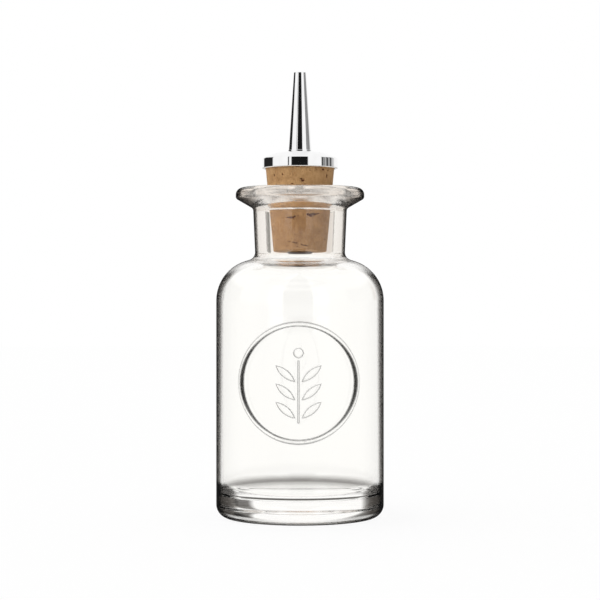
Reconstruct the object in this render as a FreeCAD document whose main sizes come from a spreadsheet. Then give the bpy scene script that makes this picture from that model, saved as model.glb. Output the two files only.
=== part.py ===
import FreeCAD
import Part
import Sketcher
import math
import os

# A small bitters bottle: moulded glass, a tapered cork, and a metal dasher that is clenched through the cork.
# Millimetres. The origin is the middle of the foot, +Z runs up the axis, and the medallion faces -Y.

SIZES = {
    # Glass body, foot and floor. The body's height is to where the slope of the shoulder meets the wall.
    "body_radius": 25.0,
    "body_height": 73.7,
    "body_wall": 1.75,
    "heel_round": 3.9,
    "foot_width": 2.2,
    "punt_height": 1.4,
    "punt_slope_width": 4.0,
    "punt_round": 5.0,
    "floor_thickness": 6.7,
    "floor_round": 4.4,
    # Glass shoulder and neck
    "shoulder_rise": 3.65,
    "shoulder_round": 12.3,
    "shoulder_limit_share": 1.06,
    "shoulder_wall": 2.0,
    "neck_root_radius": 13.35,
    "neck_top_radius": 14.0,
    "neck_height": 14.75,
    "neck_root_round": 2.4,
    "neck_top_round": 1.2,
    "bore_root_radius": 9.9,
    "bore_top_radius": 10.5,
    "bore_root_round": 4.5,
    # Glass lip, dished towards the mouth, and the tapered throat that grips the cork
    "lip_radius": 19.18,
    "lip_flare_height": 3.0,
    "lip_rim_height": 3.15,
    "lip_under_round": 1.0,
    "lip_top_round": 2.0,
    "dish_radius": 16.6,
    "dish_depth": 2.75,
    "dish_edge_round": 1.2,
    "mouth_round": 2.5,
    "throat_length": 3.05,
    "throat_ledge": 1.0,
    "throat_round": 0.4,
    "cork_fit": 0.06,
    # Medallion moulded on the front of the glass
    "relief_height": 0.4,
    "relief_sink_share": 0.5,
    "medallion_height": 41.1,
    "medallion_radius": 17.4,
    "medallion_band": 1.1,
    "stem_width": 0.8,
    "stem_length": 18.0,
    "stem_drop": 11.5,
    "leaf_length": 7.4,
    "leaf_angle": 40.0,
    "leaf_bow": 6.6,
    "leaf_gap": 0.5,
    "leaf_pitch": 5.2,
    "leaf_first": 1.4,
    "bud_radius": 1.5,
    "bud_gap": 0.6,
    # Cork
    "cork_length": 26.4,
    "cork_depth": 18.7,
    "cork_bottom_radius": 7.93,
    "cork_top_radius": 10.41,
    "cork_edge_round": 0.6,
    # Dasher: the cap on the cork's head
    "cap_fit": 0.12,
    "cap_skirt_wall": 0.82,
    "cap_recess_depth": 2.0,
    "cap_skirt_height": 3.1,
    "cap_dome_rise": 2.1,
    "cap_edge_round": 0.3,
    "cap_rim_round": 0.6,
    "dome_round": 12.0,
    "dome_turn_radius_share": 0.66,
    "dome_turn_rise_share": 0.76,
    # Dasher: the spout
    "spout_height": 23.7,
    "spout_base_radius": 3.49,
    "spout_tip_radius": 1.88,
    "spout_tip_round": 0.3,
    "spout_foot_radius": 3.65,
    "spout_foot_height": 0.25,
    "spout_foot_round": 0.1,
    "orifice_radius": 1.0,
    "orifice_land": 2.0,
    "spigot_length": 5.0,
    "spigot_wall": 0.7,
    # Dasher: the tube through the cork, and the washer that its lower end is flared over
    "tube_radius": 3.0,
    "tube_wall": 0.6,
    "flare_radius": 3.5,
    "flare_height": 0.4,
    "washer_radius": 3.8,
    "washer_thickness": 0.7,
    "washer_round": 0.15,
    "turn_fit": 0.05,
    # How far a cutting shape runs past what it cuts
    "overrun": 1.0,
}

# Heights and radii that follow from the sizes
inner_radius = "(Sizes.body_radius - Sizes.body_wall)"
foot_inner_radius = "(Sizes.body_radius - Sizes.heel_round - Sizes.foot_width)"
shoulder_width = "(Sizes.body_radius - Sizes.neck_root_radius)"
shoulder_slope = f"(Sizes.shoulder_rise / {shoulder_width})"
shoulder_bend = f"min(Sizes.shoulder_round; Sizes.shoulder_limit_share * {shoulder_width})"
neck_root = "(Sizes.body_height + Sizes.shoulder_rise)"
neck_top = f"({neck_root} + Sizes.neck_height)"
lip_under = f"({neck_top} + Sizes.lip_flare_height)"
lip_top = f"({lip_under} + Sizes.lip_rim_height)"
throat_top = f"({lip_top} - Sizes.dish_depth)"
throat_bottom = f"({throat_top} - Sizes.throat_length)"
bore_top = f"({throat_bottom} - Sizes.throat_ledge)"
bore_root = (
    f"(Sizes.body_height + {shoulder_slope} * (Sizes.body_radius - Sizes.bore_root_radius)"
    " - Sizes.shoulder_wall)"
)
inner_shoulder = f"(Sizes.body_height + {shoulder_slope} * Sizes.body_wall - Sizes.shoulder_wall)"
cork_bottom = f"({lip_top} - Sizes.cork_depth)"
cork_top = f"({cork_bottom} + Sizes.cork_length)"
cork_taper = "((Sizes.cork_top_radius - Sizes.cork_bottom_radius) / Sizes.cork_length)"
throat_top_radius = f"(Sizes.cork_bottom_radius + {cork_taper} * ({throat_top} - {cork_bottom}) + Sizes.cork_fit)"
throat_bottom_radius = f"({throat_top_radius} - {cork_taper} * Sizes.throat_length)"
cork_bore_radius = "(Sizes.tube_radius + Sizes.turn_fit)"
recess_radius = "(Sizes.cork_top_radius + Sizes.cap_fit)"
recess_floor = f"({cork_top} + Sizes.turn_fit)"
cap_radius = f"({recess_radius} + Sizes.cap_skirt_wall)"
skirt_bottom = f"({recess_floor} - Sizes.cap_recess_depth)"
cap_rim = f"({skirt_bottom} + Sizes.cap_skirt_height)"
dome_top = f"({cap_rim} + Sizes.cap_dome_rise)"
foot_top = f"({dome_top} + Sizes.spout_foot_height)"
spout_tip = f"({dome_top} + Sizes.spout_height)"
spigot_bottom = f"({dome_top} - Sizes.spigot_length)"
tube_bore_radius = "(Sizes.tube_radius - Sizes.tube_wall)"
spigot_bore_radius = f"({tube_bore_radius} - Sizes.spigot_wall)"
washer_top = f"({cork_bottom} - Sizes.turn_fit)"
washer_bottom = f"({washer_top} - Sizes.washer_thickness)"
tube_bottom = f"({washer_bottom} - Sizes.flare_height)"
relief_reach = "(Sizes.body_radius + Sizes.relief_height + Sizes.overrun)"

# The sketcher's numbers for its axes and for the ends of a curve
H_AXIS_INDEX, V_AXIS_INDEX = -1, -2
START_INDEX, END_INDEX = 1, 2
SHARP = "0"
ON_AXIS = "0"
ON_FLOOR = "0"
FULL_TURN = 360
UPRIGHT = FreeCAD.Rotation(FreeCAD.Vector(1, 0, 0), FULL_TURN / 4)
LEAF_PAIRS = 3

doc = FreeCAD.newDocument("bitters_bottle")
sheet = doc.addObject("Spreadsheet::Sheet", "Sizes")
for row, (alias, length) in enumerate(SIZES.items(), start=1):
    sheet.set(f"A{row}", alias)
    sheet.set(f"B{row}", str(length))
    sheet.setAlias(f"B{row}", alias)
doc.recompute()


def number(expression):
    """The value of an expression in the names of the sheet."""
    return float(sheet.evalExpression(expression))


def bind(sketch, constraint, expression):
    """Adds a dimension to a sketch and ties it to the sheet."""
    index = sketch.addConstraint(constraint)
    sketch.setExpression(f"Constraints[{index}]", expression)


def pin(sketch, curve, end, across, up):
    """Ties a point of a sketch to its place across and up from the origin."""
    for kind, axis, place in (("DistanceX", V_AXIS_INDEX, across), ("DistanceY", H_AXIS_INDEX, up)):
        if number(place) == 0:
            sketch.addConstraint(Sketcher.Constraint("PointOnObject", curve, end, axis))
        else:
            bind(sketch, Sketcher.Constraint(kind, H_AXIS_INDEX, START_INDEX, curve, end, number(place)), place)


def angle_about(centre, point):
    """The direction of a point from a centre, in radians."""
    return math.atan2(point.y - centre.y, point.x - centre.x)


def draw_corner(sketch, before, corner, after, rounding):
    """Draws the arc of a rounded corner and returns it with the ends that meet the sides before and after."""
    back = (before - corner).normalize()
    onward = (after - corner).normalize()
    half_angle = back.getAngle(onward) / 2
    radius = number(rounding)
    setback = radius / math.tan(half_angle)
    arrival = corner + back * setback
    departure = corner + onward * setback
    centre = corner + (back + onward).normalize() * (radius / math.sin(half_angle))
    turns_left = back.cross(onward).z < 0
    first, last = (arrival, departure) if turns_left else (departure, arrival)
    circle = Part.Circle(centre, FreeCAD.Vector(0, 0, 1), radius)
    arc = sketch.addGeometry(Part.ArcOfCircle(circle, angle_about(centre, first), angle_about(centre, last)))
    ends = (START_INDEX, END_INDEX) if turns_left else (END_INDEX, START_INDEX)
    return arc, ends, arrival, departure


def draw_outline(sketch, corners):
    """Draws a closed outline through corners of (across, up, rounding), each tied to the sheet."""
    places = [FreeCAD.Vector(number(across), number(up), 0) for across, up, _ in corners]
    count = len(corners)
    arcs = {}
    arrivals = list(places)
    departures = list(places)
    for index, (_, _, rounding) in enumerate(corners):
        if rounding != SHARP:
            after = places[(index + 1) % count]
            arc, ends, arrivals[index], departures[index] = draw_corner(
                sketch, places[index - 1], places[index], after, rounding
            )
            arcs[index] = (arc, ends)
    sides = [
        sketch.addGeometry(Part.LineSegment(departures[index], arrivals[(index + 1) % count]))
        for index in range(count)
    ]
    for index, (across, up, rounding) in enumerate(corners):
        side_before, side_after = sides[index - 1], sides[index]
        if index not in arcs:
            sketch.addConstraint(Sketcher.Constraint("Coincident", side_before, END_INDEX, side_after, START_INDEX))
            pin(sketch, side_after, START_INDEX, across, up)
            continue
        arc, (arrival_end, departure_end) = arcs[index]
        sketch.addConstraint(Sketcher.Constraint("Tangent", side_before, END_INDEX, arc, arrival_end))
        sketch.addConstraint(Sketcher.Constraint("Tangent", arc, departure_end, side_after, START_INDEX))
        bind(sketch, Sketcher.Constraint("Radius", arc, number(rounding)), rounding)
        apex = sketch.addGeometry(Part.Point(places[index]), True)
        sketch.addConstraint(Sketcher.Constraint("PointOnObject", apex, START_INDEX, side_before))
        sketch.addConstraint(Sketcher.Constraint("PointOnObject", apex, START_INDEX, side_after))
        pin(sketch, apex, START_INDEX, across, up)


def draw_leaf(sketch, base, tip, bow):
    """Draws a pointed leaf from its base to its tip with two equal arcs."""
    ends = [FreeCAD.Vector(number(across), number(up), 0) for across, up in (base, tip)]
    middle = (ends[0] + ends[1]) / 2
    half_chord = (ends[1] - ends[0]) / 2
    radius = number(bow)
    reach = math.sqrt(radius**2 - half_chord.Length**2)
    sideways = FreeCAD.Vector(-half_chord.y, half_chord.x, 0).normalize() * reach
    arcs = []
    for centre, first, last in ((middle + sideways, *ends), (middle - sideways, *reversed(ends))):
        circle = Part.Circle(centre, FreeCAD.Vector(0, 0, 1), radius)
        shape = Part.ArcOfCircle(circle, angle_about(centre, first), angle_about(centre, last))
        arcs.append(sketch.addGeometry(shape))
        bind(sketch, Sketcher.Constraint("Radius", arcs[-1], radius), bow)
    sketch.addConstraint(Sketcher.Constraint("Coincident", arcs[0], START_INDEX, arcs[1], END_INDEX))
    sketch.addConstraint(Sketcher.Constraint("Coincident", arcs[0], END_INDEX, arcs[1], START_INDEX))
    pin(sketch, arcs[0], START_INDEX, *base)
    pin(sketch, arcs[0], END_INDEX, *tip)


def turned_body(name, corners):
    """A body turned about Z from the outline of its half section."""
    body = doc.addObject("PartDesign::Body", name)
    sketch = body.newObject("Sketcher::SketchObject", f"{name}_outline")
    plane = next(feature for feature in body.Origin.OriginFeatures if feature.Role == "XZ_Plane")
    sketch.AttachmentSupport = (plane, [""])
    sketch.MapMode = "FlatFace"
    draw_outline(sketch, corners)
    turned = body.newObject("PartDesign::Revolution", f"{name}_turned")
    turned.Profile = sketch
    turned.ReferenceAxis = (sketch, ["V_Axis"])
    turned.Angle = FULL_TURN
    return body


def cylinder(name, radius, length, up, rotation=FreeCAD.Rotation()):
    """A cylinder that starts on the axis at a height, along Z or, turned upright, towards -Y."""
    solid = doc.addObject("Part::Cylinder", name)
    solid.setExpression("Radius", radius)
    solid.setExpression("Height", length)
    solid.Placement.Rotation = rotation
    solid.setExpression("Placement.Base.z", up)
    return solid


def cut(name, base, tool):
    """One solid less another."""
    solid = doc.addObject("Part::Cut", name)
    solid.Base = base
    solid.Tool = tool
    return solid


def glass_form():
    """The plain glass: foot, body, shoulder, neck and lip outside, then mouth, throat, bore and floor inside."""
    return turned_body("glass_form", [
        (ON_AXIS, "Sizes.punt_height", SHARP),
        (f"{foot_inner_radius} - Sizes.punt_slope_width", "Sizes.punt_height", "Sizes.punt_round"),
        (foot_inner_radius, ON_FLOOR, SHARP),
        ("Sizes.body_radius", ON_FLOOR, "Sizes.heel_round"),
        ("Sizes.body_radius", "Sizes.body_height", shoulder_bend),
        ("Sizes.neck_root_radius", neck_root, "Sizes.neck_root_round"),
        ("Sizes.neck_top_radius", neck_top, "Sizes.neck_top_round"),
        ("Sizes.lip_radius", lip_under, "Sizes.lip_under_round"),
        ("Sizes.lip_radius", lip_top, "Sizes.lip_top_round"),
        ("Sizes.dish_radius", lip_top, "Sizes.dish_edge_round"),
        (throat_top_radius, throat_top, "Sizes.mouth_round"),
        (throat_bottom_radius, throat_bottom, "Sizes.throat_round"),
        ("Sizes.bore_top_radius", bore_top, "Sizes.throat_round"),
        ("Sizes.bore_root_radius", bore_root, "Sizes.bore_root_round"),
        (inner_radius, inner_shoulder, f"{shoulder_bend} - Sizes.body_wall"),
        (inner_radius, "Sizes.floor_thickness", "Sizes.floor_round"),
        (ON_AXIS, "Sizes.floor_thickness", SHARP),
    ])


def sprig():
    """The plain leaf sprig inside the medallion, as upright prisms: leaves in pairs, a stem and a bud."""
    sketch = doc.addObject("Sketcher::SketchObject", "sprig_outline")
    sketch.Placement.Rotation = UPRIGHT
    stem_bottom = "(Sizes.medallion_height - Sizes.stem_drop)"
    stem_top = f"({stem_bottom} + Sizes.stem_length)"
    half_stem = "Sizes.stem_width / 2"
    draw_outline(sketch, [
        (ON_AXIS, stem_bottom, SHARP),
        (half_stem, stem_bottom, SHARP),
        (half_stem, stem_top, SHARP),
        (ON_AXIS, stem_top, SHARP),
    ])
    leaf_across = f"({half_stem} + Sizes.leaf_gap)"
    for pair in range(LEAF_PAIRS):
        leaf_up = f"({stem_bottom} + Sizes.leaf_first + {pair} * Sizes.leaf_pitch)"
        tip_across = f"({leaf_across} + Sizes.leaf_length * cos(Sizes.leaf_angle))"
        tip_up = f"({leaf_up} + Sizes.leaf_length * sin(Sizes.leaf_angle))"
        draw_leaf(sketch, (leaf_across, leaf_up), (tip_across, tip_up), "Sizes.leaf_bow")
    right_half = doc.addObject("Part::Extrusion", "sprig_right_half")
    right_half.Base = sketch
    right_half.DirMode = "Normal"
    right_half.Solid = True
    right_half.setExpression("LengthFwd", relief_reach)
    left_half = doc.addObject("Part::Mirroring", "sprig_left_half")
    left_half.Source = right_half
    left_half.Normal = FreeCAD.Vector(1, 0, 0)
    bud_up = f"{stem_top} + Sizes.bud_gap + Sizes.bud_radius"
    bud = cylinder("sprig_bud", "Sizes.bud_radius", relief_reach, bud_up, UPRIGHT)
    return [right_half, left_half, bud]


def glass_bottle():
    """The glass with its medallion: a round band and a sprig, raised evenly over the curve of the body."""
    form = glass_form()
    band_bottom = "Sizes.medallion_height - Sizes.medallion_radius - Sizes.overrun"
    band_height = "2 * (Sizes.medallion_radius + Sizes.overrun)"
    raised_radius = "Sizes.body_radius + Sizes.relief_height"
    sunk_radius = "Sizes.body_radius - Sizes.body_wall * Sizes.relief_sink_share"
    skin = cut(
        "relief_skin",
        cylinder("relief_outside", raised_radius, band_height, band_bottom),
        cylinder("relief_inside", sunk_radius, band_height, band_bottom),
    )
    middle = "Sizes.medallion_height"
    ring_inner = "Sizes.medallion_radius - Sizes.medallion_band"
    ring = cut(
        "medallion_ring",
        cylinder("ring_outside", "Sizes.medallion_radius", relief_reach, middle, UPRIGHT),
        cylinder("ring_inside", ring_inner, relief_reach, middle, UPRIGHT),
    )
    motif = doc.addObject("Part::MultiFuse", "medallion_motif")
    motif.Shapes = [ring, *sprig()]
    relief = doc.addObject("Part::Common", "medallion_relief")
    relief.Base = motif
    relief.Tool = skin
    bottle = doc.addObject("Part::Fuse", "glass_bottle")
    bottle.Base = form
    bottle.Tool = relief
    return bottle


def cork_stopper():
    """The tapered cork, bored through for the tube."""
    return turned_body("cork_stopper", [
        (cork_bore_radius, cork_bottom, SHARP),
        ("Sizes.cork_bottom_radius", cork_bottom, "Sizes.cork_edge_round"),
        ("Sizes.cork_top_radius", cork_top, "Sizes.cork_edge_round"),
        (cork_bore_radius, cork_top, SHARP),
    ])


def dasher_cap():
    """The low domed cap, recessed below for the cork's head and holed for the tube."""
    turn_radius = f"{cap_radius} * Sizes.dome_turn_radius_share"
    turn_height = f"{cap_rim} + Sizes.cap_dome_rise * Sizes.dome_turn_rise_share"
    return turned_body("dasher_cap", [
        ("Sizes.tube_radius", recess_floor, SHARP),
        (recess_radius, recess_floor, SHARP),
        (recess_radius, skirt_bottom, SHARP),
        (cap_radius, skirt_bottom, "Sizes.cap_edge_round"),
        (cap_radius, cap_rim, "Sizes.cap_rim_round"),
        (turn_radius, turn_height, "Sizes.dome_round"),
        ("Sizes.spout_foot_radius", dome_top, SHARP),
        ("Sizes.tube_radius", dome_top, SHARP),
    ])


def dasher_spout():
    """The tapered spout: a foot on the cap, a spigot down into the tube and a narrow hole at the tip."""
    return turned_body("dasher_spout", [
        (spigot_bore_radius, spigot_bottom, SHARP),
        (tube_bore_radius, spigot_bottom, SHARP),
        (tube_bore_radius, dome_top, SHARP),
        ("Sizes.spout_foot_radius", dome_top, SHARP),
        ("Sizes.spout_foot_radius", foot_top, SHARP),
        ("Sizes.spout_base_radius", foot_top, "Sizes.spout_foot_round"),
        ("Sizes.spout_tip_radius", spout_tip, "Sizes.spout_tip_round"),
        ("Sizes.orifice_radius", spout_tip, SHARP),
        ("Sizes.orifice_radius", f"{spout_tip} - Sizes.orifice_land", SHARP),
        (spigot_bore_radius, dome_top, SHARP),
    ])


def pour_tube():
    """The tube through the cork, with its lower end flared over the washer."""
    return turned_body("pour_tube", [
        (tube_bore_radius, tube_bottom, SHARP),
        ("Sizes.flare_radius", tube_bottom, SHARP),
        ("Sizes.flare_radius", washer_bottom, SHARP),
        ("Sizes.tube_radius", washer_bottom, SHARP),
        ("Sizes.tube_radius", dome_top, SHARP),
        (tube_bore_radius, dome_top, SHARP),
    ])


def retaining_washer():
    """The washer under the cork."""
    return turned_body("retaining_washer", [
        ("Sizes.tube_radius", washer_bottom, SHARP),
        ("Sizes.washer_radius", washer_bottom, "Sizes.washer_round"),
        ("Sizes.washer_radius", washer_top, "Sizes.washer_round"),
        ("Sizes.tube_radius", washer_top, SHARP),
    ])


pieces = [glass_bottle(), cork_stopper(), dasher_cap(), dasher_spout(), pour_tube(), retaining_washer()]
doc.recompute()

for item in doc.Objects:
    if "Invalid" in item.State or "Error" in item.State:
        raise RuntimeError(f"{item.Label} failed: {item.State}")
for piece in pieces:
    if piece.Shape.isNull() or not piece.Shape.isValid() or len(piece.Shape.Solids) != 1:
        raise RuntimeError(f"{piece.Label} is not one valid solid")

os.makedirs("parts", exist_ok=True)
for piece in pieces:
    piece.Shape.exportStep(f"parts/{piece.Label}.step")
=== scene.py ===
"""The looks of a small dash bottle: clear moulded glass, a natural cork and a bright pour fitting."""

import math
import random

import bmesh
import bpy
import numpy as np
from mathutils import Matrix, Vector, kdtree


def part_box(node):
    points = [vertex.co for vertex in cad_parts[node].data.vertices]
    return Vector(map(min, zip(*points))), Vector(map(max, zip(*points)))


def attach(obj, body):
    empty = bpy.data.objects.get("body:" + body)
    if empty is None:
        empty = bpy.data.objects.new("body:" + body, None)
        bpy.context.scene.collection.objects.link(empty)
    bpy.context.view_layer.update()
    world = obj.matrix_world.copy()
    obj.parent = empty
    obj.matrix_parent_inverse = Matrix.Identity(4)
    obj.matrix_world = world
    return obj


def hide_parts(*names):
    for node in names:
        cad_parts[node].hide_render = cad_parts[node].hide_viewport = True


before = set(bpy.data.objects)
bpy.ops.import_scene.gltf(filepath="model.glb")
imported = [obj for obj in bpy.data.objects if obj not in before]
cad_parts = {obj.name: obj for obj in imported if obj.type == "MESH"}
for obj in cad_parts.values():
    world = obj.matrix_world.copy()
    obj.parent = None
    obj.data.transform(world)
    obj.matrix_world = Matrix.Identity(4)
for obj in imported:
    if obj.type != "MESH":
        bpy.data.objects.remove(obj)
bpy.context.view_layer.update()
GLASS_LOW, GLASS_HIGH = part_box("glass_bottle")
CORK_LOW, CORK_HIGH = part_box("cork_stopper")
CAP_LOW, CAP_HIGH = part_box("dasher_cap")
SPOUT_LOW, SPOUT_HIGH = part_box("dasher_spout")
TUBE_LOW, TUBE_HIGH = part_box("pour_tube")
WASHER_LOW, WASHER_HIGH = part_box("retaining_washer")

bl_info = {
    "name": "Dash Bottle",
    "version": (1, 0, 0),
    "blender": (4, 5, 0),
    "location": "View3D > Sidebar > Dash Bottle",
    "description": "Builds the glass, cork and pour fitting of a small dash bottle",
    "category": "Add Mesh",
}

FULL_TURN = 2 * math.pi
UPRIGHT_AXIS = (0, 0, 1)
MIDDLE = (0, 0, 0)
SHARP = 0.0
MERGE_GAP = 1e-6
WARMTH = 0.02


def length(name, text, default):
    """A size property in metres."""
    return bpy.props.FloatProperty(
        name=name, description=text, default=default, min=0.0,
        precision=5, subtype="DISTANCE", unit="LENGTH",
    )


def share(name, text, default):
    """A property from 0 to 1."""
    return bpy.props.FloatProperty(
        name=name, description=text, default=default, min=0.0, max=1.0, subtype="FACTOR"
    )


def linear(red, green, blue):
    """A colour in the units that shaders use, from the 0 to 255 of a colour picker."""
    shares = (red / 255, green / 255, blue / 255)
    return tuple(v / 12.92 if v <= 0.04045 else ((v + 0.055) / 1.055) ** 2.4 for v in shares)


def colour(name, text, default):
    """A colour property."""
    return bpy.props.FloatVectorProperty(
        name=name, description=text, default=linear(*default), size=3, min=0.0, max=1.0, subtype="COLOR"
    )


class DashGlass(bpy.types.PropertyGroup):
    """Sizes, tint and painted shade of the moulded glass."""

    body_radius: length("Body radius", "Outside of the straight body", GLASS_HIGH.x)
    body_height: length("Body height", "Where the straight body would meet the shoulder", 0.0737)
    wall: length("Wall", "Thickness of the body's wall", 0.00175)
    heel_round: length("Heel rounding", "Rounding at the foot of the body", 0.0039)
    foot_width: length("Foot width", "Width of the flat ring that the bottle stands on", 0.0022)
    punt_height: length("Punt height", "Depth of the hollow under the foot", 0.0014)
    punt_slope: length("Punt slope", "Width of the slope around the hollow", 0.0040)
    punt_round: length("Punt rounding", "Rounding at the top of the slope", 0.0050)
    floor_height: length("Floor height", "Height of the inner floor", 0.0067)
    floor_round: length("Floor rounding", "Rounding between wall and inner floor", 0.0044)
    shoulder_round: length("Shoulder rounding", "Outer bend of the shoulder", 0.0123)
    inner_shoulder: length("Inner shoulder", "Where the inner wall would meet the inner shoulder", 0.07225)
    neck_root: length("Neck root", "Height where the neck starts", 0.07735)
    neck_root_radius: length("Neck root radius", "Outside of the neck at its root", 0.01335)
    neck_root_round: length("Neck root rounding", "Hollow between shoulder and neck", 0.0024)
    neck_top: length("Neck top", "Height where the lip flares out", 0.0921)
    neck_top_radius: length("Neck top radius", "Outside of the neck under the lip", 0.0140)
    neck_top_round: length("Neck top rounding", "Hollow between neck and lip", 0.0012)
    bore_root: length("Bore root", "Height where the bore opens into the body", 0.07643)
    bore_root_radius: length("Bore root radius", "Bore at its root", 0.0099)
    bore_root_round: length("Bore root rounding", "Rounding between bore and inner shoulder", 0.0045)
    bore_top: length("Bore top", "Height of the ledge under the throat", 0.09145)
    bore_top_radius: length("Bore top radius", "Bore at its top", 0.0105)
    throat_bottom: length("Throat bottom", "Height where the tapered throat ends", 0.09245)
    throat_bottom_radius: length("Throat bottom radius", "Throat at its lower end", 0.0092)
    throat_top: length("Throat top", "Height where the throat opens into the dish of the mouth", 0.0955)
    throat_top_radius: length("Throat top radius", "Throat under the dish", 0.00949)
    throat_top_round: length("Throat top rounding", "Rounding between throat and dish", 0.0025)
    throat_round: length("Throat rounding", "Rounding of the ledge", 0.0004)
    lip_radius: length("Lip radius", "Outside of the flared lip", 0.01918)
    lip_under: length("Lip underside", "Height where the flare meets the lip's rim", 0.0951)
    lip_under_round: length("Lip lower rounding", "Rounding under the rim", 0.0010)
    lip_top_round: length("Lip upper rounding", "Rounding on top of the rim", 0.0020)
    mouth_radius: length("Mouth radius", "Where the dish would meet the lip's top", 0.0166)
    mouth_round: length("Mouth rounding", "Rounding between dish and lip", 0.0012)
    medallion_height: length("Medallion height", "Middle of the medallion", 0.0411)
    medallion_radius: length("Medallion radius", "Outside of the medallion's band", 0.0174)
    medallion_band: length("Medallion band", "Width of the band", 0.0011)
    relief: length("Relief", "How far the medallion stands out", -GLASS_LOW.y - GLASS_HIGH.x)
    tint: colour("Tint", "What the glass lets through", (255, 255, 254))
    neck_tint: colour("Neck tint", "Warm tone of the thick neck", (244, 240, 236))
    lip_tint: colour("Lip tint", "Warm tone of the thick lip", (236, 226, 217))
    # Painted shade for the steep edges of the relief.
    relief_line_shade: colour("Edge tint", "What a steep edge of the relief lets through", (2, 2, 1))


class DashCork(bpy.types.PropertyGroup):
    """Sizes and colours of the cork."""

    bottom_radius: length("Lower radius", "Radius at the lower end", 0.00793)
    top_radius: length("Upper radius", "Radius at the upper end", 0.01041)
    edge_round: length("Edge rounding", "Rounding of both ends", 0.0006)
    bore_radius: length("Bore radius", "Hole for the tube", 0.00305)
    light: colour("Light bark", "Lightest cork", (187, 149, 103))
    dark: colour("Dark bark", "Darker grain", (148, 111, 72))
    # The part of the cork in the neck, below the lip, takes a slightly warmer tone.
    cork_neck_tone: colour("Damp tone", "What the part in the neck keeps of its colour", (255, 248, 240))
    pit: colour("Pit", "Inside the pores", (82, 43, 24))


class DashFitting(bpy.types.PropertyGroup):
    """Sizes and colours of the metal pour fitting."""

    cap_radius: length("Cap radius", "Outside of the skirt", CAP_HIGH.x)
    cap_rim: length("Cap rim", "Height where the skirt meets the dome", 0.1071)
    cap_recess: length("Cap recess", "Height of the recess over the cork", 0.1060)
    cap_recess_radius: length("Recess radius", "Room for the head of the cork", 0.01053)
    cap_edge_round: length("Skirt edge rounding", "Rounding of the skirt's lower edge", 0.0003)
    cap_rim_round: length("Rim rounding", "Rounding between skirt and dome", 0.0006)
    dome_turn_radius: length("Dome turn radius", "Where the dome flattens", 0.00749)
    dome_turn_height: length("Dome turn height", "Height where the dome flattens", 0.1087)
    dome_round: length("Dome rounding", "Bend of the dome", 0.0120)
    tube_radius: length("Tube radius", "Outside of the tube", 0.0030)
    tube_bore: length("Tube bore", "Inside of the tube", 0.0024)
    foot_radius: length("Spout foot radius", "Outside of the small foot", SPOUT_HIGH.x)
    foot_top: length("Spout foot top", "Height of the small foot", 0.10945)
    foot_round: length("Spout foot rounding", "Hollow above the foot", 0.0001)
    base_radius: length("Spout base radius", "Spout just above its foot", 0.00349)
    tip_radius: length("Spout tip radius", "Spout at its tip", 0.00188)
    tip_round: length("Spout tip rounding", "Rounding of the tip", 0.0003)
    hole_radius: length("Hole radius", "Hole that doses the drops", 0.0010)
    hole_land: length("Hole land", "Depth of the narrow hole", 0.0020)
    spigot_bore: length("Spigot bore", "Inside of the spigot", 0.0017)
    flare_round: length("Flare rounding", "Rounding of the flared tube end", 0.00015)
    washer_round: length("Washer rounding", "Rounding of the washer", 0.00015)
    chrome: colour("Chrome", "Polished cap and spout", (250, 250, 250))
    # The steel colour is dark and warm, standing in for the dark surroundings the tube and washer reflect:
    # a painted shade.
    steel_with_painted_shade: colour("Steel", "Tube and washer", (92, 80, 72))


class DashStage(bpy.types.PropertyGroup):
    """The camera and the studio."""

    camera_distance: length("Camera distance", "From the bottle's axis to the camera", 0.538)
    camera_height: length("Camera height", "Height of the camera", 0.0648)
    camera_turn: bpy.props.FloatProperty(
        name="Camera turn",
        description="How far the camera stands to the right",
        default=math.radians(1),
        subtype="ANGLE",
    )
    lens: bpy.props.FloatProperty(
        name="Lens", description="Focal length in millimetres", default=108.0, min=1.0
    )
    floor_radius: length("Floor radius", "Size of the pale floor", 2.0)
    floor_glow: share("Floor glow", "How much of the floor's white is its own", 0.9)


def deselect():
    """Leaves nothing selected, in object mode."""
    if bpy.context.object and bpy.context.object.mode != "OBJECT":
        bpy.ops.object.mode_set(mode="OBJECT")
    bpy.ops.object.select_all(action="DESELECT")


def rounded(corners, bend):
    """The outline through corners of (radius, height, rounding), with arcs in steps of bend or less."""
    points = []
    for i, (r, z, rounding) in enumerate(corners):
        here = np.array((r, z))
        if not rounding:
            points.append(here)
            continue
        back, on = np.array(corners[i - 1][:2]) - here, np.array(corners[i + 1][:2]) - here
        back, on = back / np.linalg.norm(back), on / np.linalg.norm(on)
        half = math.acos(float(np.clip(back @ on, -1, 1))) / 2
        middle = back + on
        centre = here + middle / np.linalg.norm(middle) * rounding / math.sin(half)
        first = here + back * rounding / math.tan(half) - centre
        swing = math.pi - 2 * half
        side = 1 if back[0] * on[1] - back[1] * on[0] < 0 else -1
        steps = max(2, math.ceil(swing / bend))
        for k in range(steps + 1):
            a = side * swing * k / steps
            c, s = math.cos(a), math.sin(a)
            points.append(centre + np.array((first[0] * c - first[1] * s, first[0] * s + first[1] * c)))
    return [tuple(float(v) for v in p) for p in points]


def divided(outline, spacing):
    """The outline with extra points, so that no step is longer than spacing."""
    points = [outline[0]]
    for (r0, z0), (r1, z1) in zip(outline, outline[1:]):
        steps = max(1, math.ceil(math.hypot(r1 - r0, z1 - z0) / spacing))
        points += [(r0 + (r1 - r0) * k / steps, z0 + (z1 - z0) * k / steps) for k in range(1, steps + 1)]
    return points


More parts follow.
